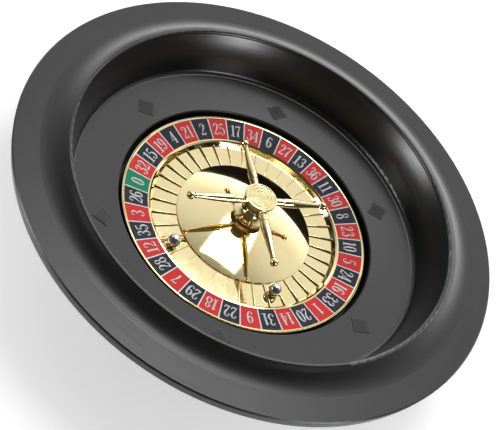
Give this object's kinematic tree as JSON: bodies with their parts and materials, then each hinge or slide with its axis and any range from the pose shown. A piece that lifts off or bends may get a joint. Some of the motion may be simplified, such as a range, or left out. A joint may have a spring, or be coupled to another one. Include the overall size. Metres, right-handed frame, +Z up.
{
  "type": "roulette wheel",
  "caption": "Tabletop roulette wheel: dished black bowl with a raised crest, free-spinning gold rotor with number ring and pockets, four-armed turret, loose steel balls.",
  "frame": {"origin": "on the table, on the wheel's vertical axis, midway between the four feet", "axes": "+Z up along the spindle, -Y towards the front, +X to the right"},
  "size_m": [0.406, 0.406, 0.0846],
  "materials": {
    "black_plastic": "satin gloss moulded ABS",
    "black_texture": "textured moulded ABS",
    "rubber": "matte",
    "steel": "bright zinc plated",
    "bearing_steel": "ground",
    "brass_cage": "pressed",
    "aluminium": "turned",
    "gold_plate": "polished pale gold plating",
    "gold_mirror": "mirror polished pale gold plating",
    "printed_film": "printed film",
    "chrome_ball": "mirror polished"
  },
  "bodies": {
    "bowl": {"bowl": "black_plastic", "track_diamonds": "black_texture", "base_tray": "black_plastic", "axle_cover": "black_plastic", "base_screws": "steel", "rubber_foot_1": "rubber", "rubber_foot_2": "rubber", "rubber_foot_3": "rubber", "rubber_foot_4": "rubber", "spindle": "steel", "spindle_washer": "steel", "spindle_nut": "steel", "bearing_spacer": "steel", "retaining_clip": "steel", "lower_bearing_inner_race": "bearing_steel", "upper_bearing_inner_race": "bearing_steel"},
    "rotor": {"hub": "aluminium", "hub_screws": "steel", "rim_screws": "steel", "pocket_plate": "gold_plate", "rotor_rim": "gold_plate", "number_ring": "printed_film", "pocket_frets": "gold_plate", "center_cone": "gold_mirror", "turret_stud": "steel", "turret_base": "gold_plate", "turret_column": "gold_plate", "turret_head": "gold_plate", "turret_nut": "steel", "turret_cap": "gold_plate", "turret_arm_1": "gold_plate", "turret_arm_2": "gold_plate", "turret_arm_3": "gold_plate", "turret_arm_4": "gold_plate", "lower_bearing_outer_race": "bearing_steel", "upper_bearing_outer_race": "bearing_steel"},
    "lower_cage": {"lower_bearing_balls": "bearing_steel", "lower_bearing_cage": "brass_cage"},
    "upper_cage": {"upper_bearing_balls": "bearing_steel", "upper_bearing_cage": "brass_cage"},
    "ball_1": {"steel_ball_1": "chrome_ball"},
    "ball_2": {"steel_ball_2": "chrome_ball"}
  },
  "joints": [
    {"name": "rotor_spin", "type": "hinge", "parent": "bowl", "child": "rotor", "pos_m": [0, 0, 0.021], "axis": [0, 0, 1], "continuous": true},
    {"name": "lower_cage_spin", "type": "hinge", "parent": "bowl", "child": "lower_cage", "pos_m": [0, 0, 0.0177], "axis": [0, 0, 1], "continuous": true},
    {"name": "upper_cage_spin", "type": "hinge", "parent": "bowl", "child": "upper_cage", "pos_m": [0, 0, 0.0252], "axis": [0, 0, 1], "continuous": true},
    {"name": "ball_1_lift", "type": "slide", "parent": "rotor", "child": "ball_1", "axis": [0, 0, 1], "range_m": [0, 0.06]},
    {"name": "ball_2_lift", "type": "slide", "parent": "rotor", "child": "ball_2", "axis": [0, 0, 1], "range_m": [0, 0.06]}
  ],
  "couplings": [
    {"joint": "lower_cage_spin", "follows": "rotor_spin", "ratio": 0.6065},
    {"joint": "upper_cage_spin", "follows": "rotor_spin", "ratio": 0.6065}
  ]
}
